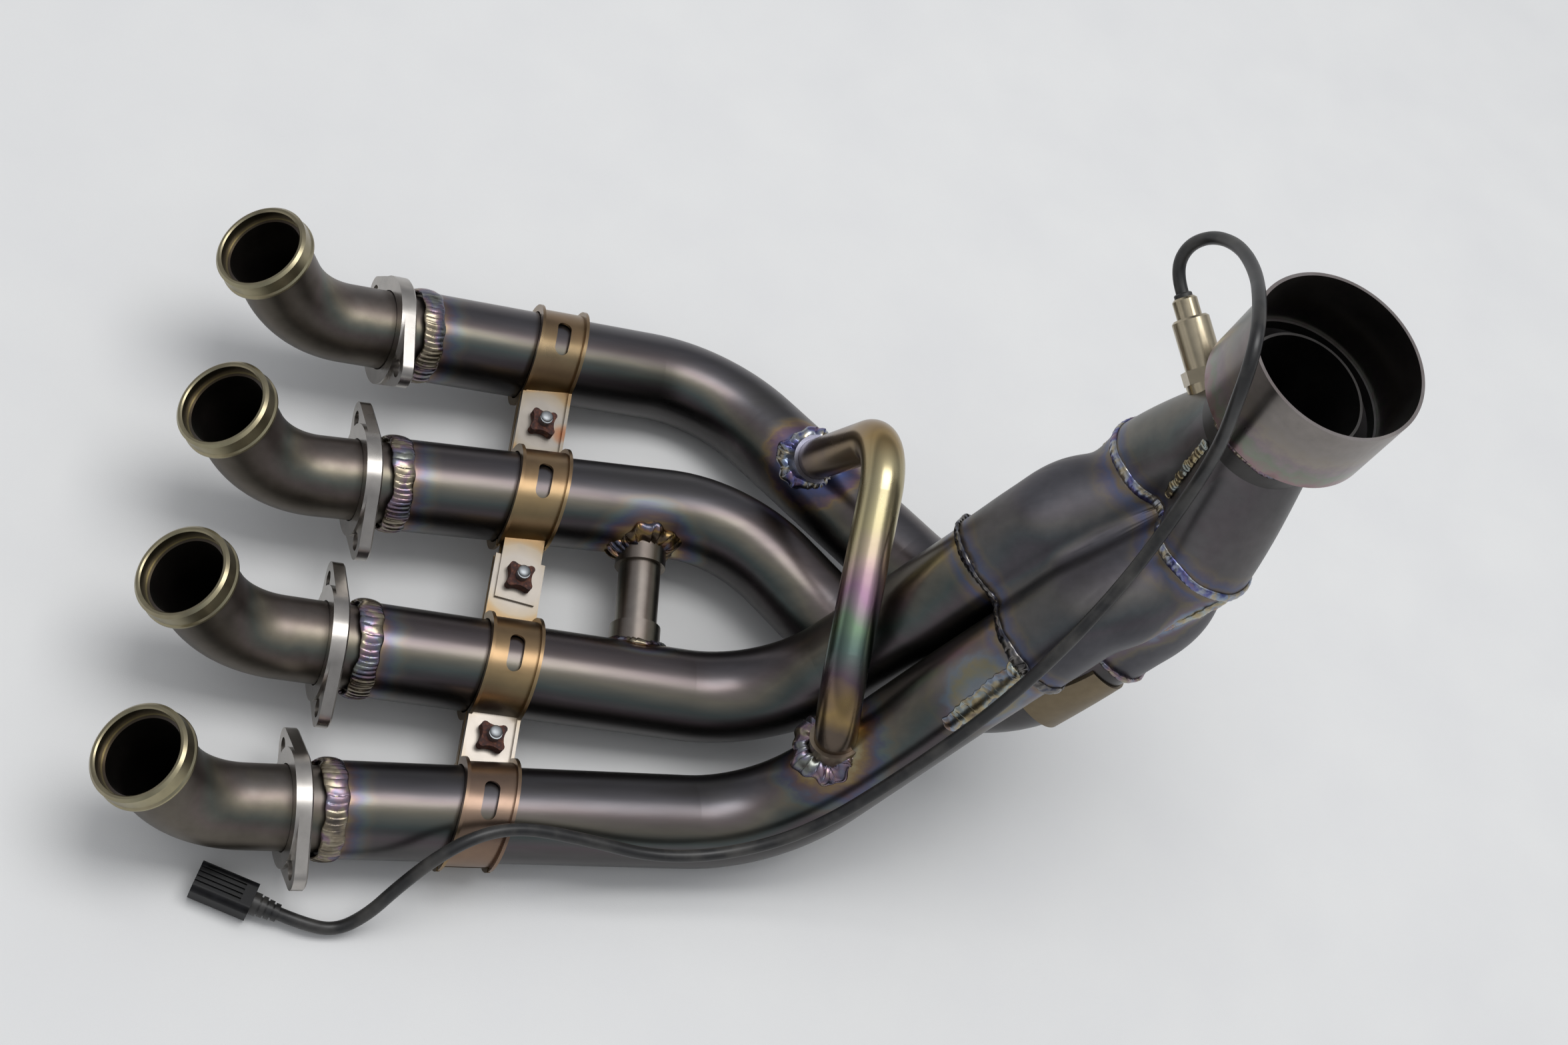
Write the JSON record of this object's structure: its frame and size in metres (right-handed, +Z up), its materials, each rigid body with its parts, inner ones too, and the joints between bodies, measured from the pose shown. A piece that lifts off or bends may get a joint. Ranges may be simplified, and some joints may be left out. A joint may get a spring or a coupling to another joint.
{
  "type": "motorcycle exhaust header",
  "caption": "Exhaust header of bent tubes that gathers the exhaust ports into a merge collector and one outlet, with balance tubes, loose flanges, a clamp and an oxygen sensor.",
  "frame": {"origin": "on the floor under the middle of the header's box, as it lies on its front", "axes": "+Z up as it lies, towards the rear of the machine; +X down the pipes from the inlets to the collector; +Y along the row of inlets from pipe 1 to pipe 4"},
  "size_m": [0.4686, 0.3362, 0.3418],
  "materials": {
    "collar_titanium": "pale brassy satin",
    "stub_titanium": "dull bronze brown",
    "flange_steel": "polished grey",
    "pipe_titanium": "satin gunmetal with heat tints",
    "tinted_titanium": "heat-tinted satin",
    "collector_titanium": "matt charcoal with tinted welds",
    "sleeve_titanium": "light grey satin",
    "pad_titanium": "tan heat stain",
    "sensor_nickel": "nickel gone brassy",
    "strap_steel": "gold bronze and cream heat stain",
    "bolt_steel": "grey steel",
    "rusty_steel": "red-brown rust",
    "black_rubber": "matt black",
    "black_plastic": "matt black"
  },
  "bodies": {
    "header": {"inlet_collar_1": "collar_titanium", "inlet_stub_1": "stub_titanium", "primary_pipe_1": "pipe_titanium", "balance_ring_1": "tinted_titanium", "inlet_collar_2": "collar_titanium", "inlet_stub_2": "stub_titanium", "primary_pipe_2": "pipe_titanium", "balance_ring_2": "tinted_titanium", "inlet_collar_3": "collar_titanium", "inlet_stub_3": "stub_titanium", "primary_pipe_3": "pipe_titanium", "balance_ring_3": "tinted_titanium", "inlet_collar_4": "collar_titanium", "inlet_stub_4": "stub_titanium", "primary_pipe_4": "pipe_titanium", "balance_ring_4": "tinted_titanium", "balance_tube_inner": "pipe_titanium", "balance_tube_outer": "tinted_titanium", "collector_upper_shell": "collector_titanium", "collector_lower_shell": "collector_titanium", "collector_centre_plug": "collector_titanium", "two_into_one": "collector_titanium", "outlet_neck": "collector_titanium", "outlet_flare": "sleeve_titanium", "outlet_sleeve": "sleeve_titanium", "sensor_bung": "sensor_nickel", "sensor_hexagon": "sensor_nickel", "sensor_body": "sensor_nickel", "sensor_cap": "sensor_nickel", "cable_grommet": "black_rubber", "strap_rear_lower": "strap_steel", "strap_rear_upper": "strap_steel", "strap_front_lower": "strap_steel", "strap_front_upper": "strap_steel", "strap_bolts": "bolt_steel", "strap_nuts": "rusty_steel", "lower_pad": "pad_titanium", "sensor_cable": "black_rubber", "plug_boot": "black_rubber", "plug_body": "black_plastic"},
    "flange_1": {"flange_1": "flange_steel"},
    "flange_2": {"flange_2": "flange_steel"},
    "flange_3": {"flange_3": "flange_steel"},
    "flange_4": {"flange_4": "flange_steel"}
  },
  "joints": [
    {"name": "flange_1_turn", "type": "hinge", "parent": "header", "child": "flange_1", "pos_m": [-0.1472, -0.12709, 0.02983], "axis": [0.978, 0.2032, -0.0466], "continuous": true},
    {"name": "flange_2_turn", "type": "hinge", "parent": "header", "child": "flange_2", "pos_m": [-0.14621, -0.0497, 0.03562], "axis": [0.9915, 0.1182, -0.0538], "continuous": true},
    {"name": "flange_3_turn", "type": "hinge", "parent": "header", "child": "flange_3", "pos_m": [-0.14633, 0.0327, 0.04127], "axis": [0.9802, 0.1885, -0.0609], "continuous": true},
    {"name": "flange_4_turn", "type": "hinge", "parent": "header", "child": "flange_4", "pos_m": [-0.14644, 0.11532, 0.04356], "axis": [0.9688, 0.1987, -0.1482], "continuous": true}
  ]
}
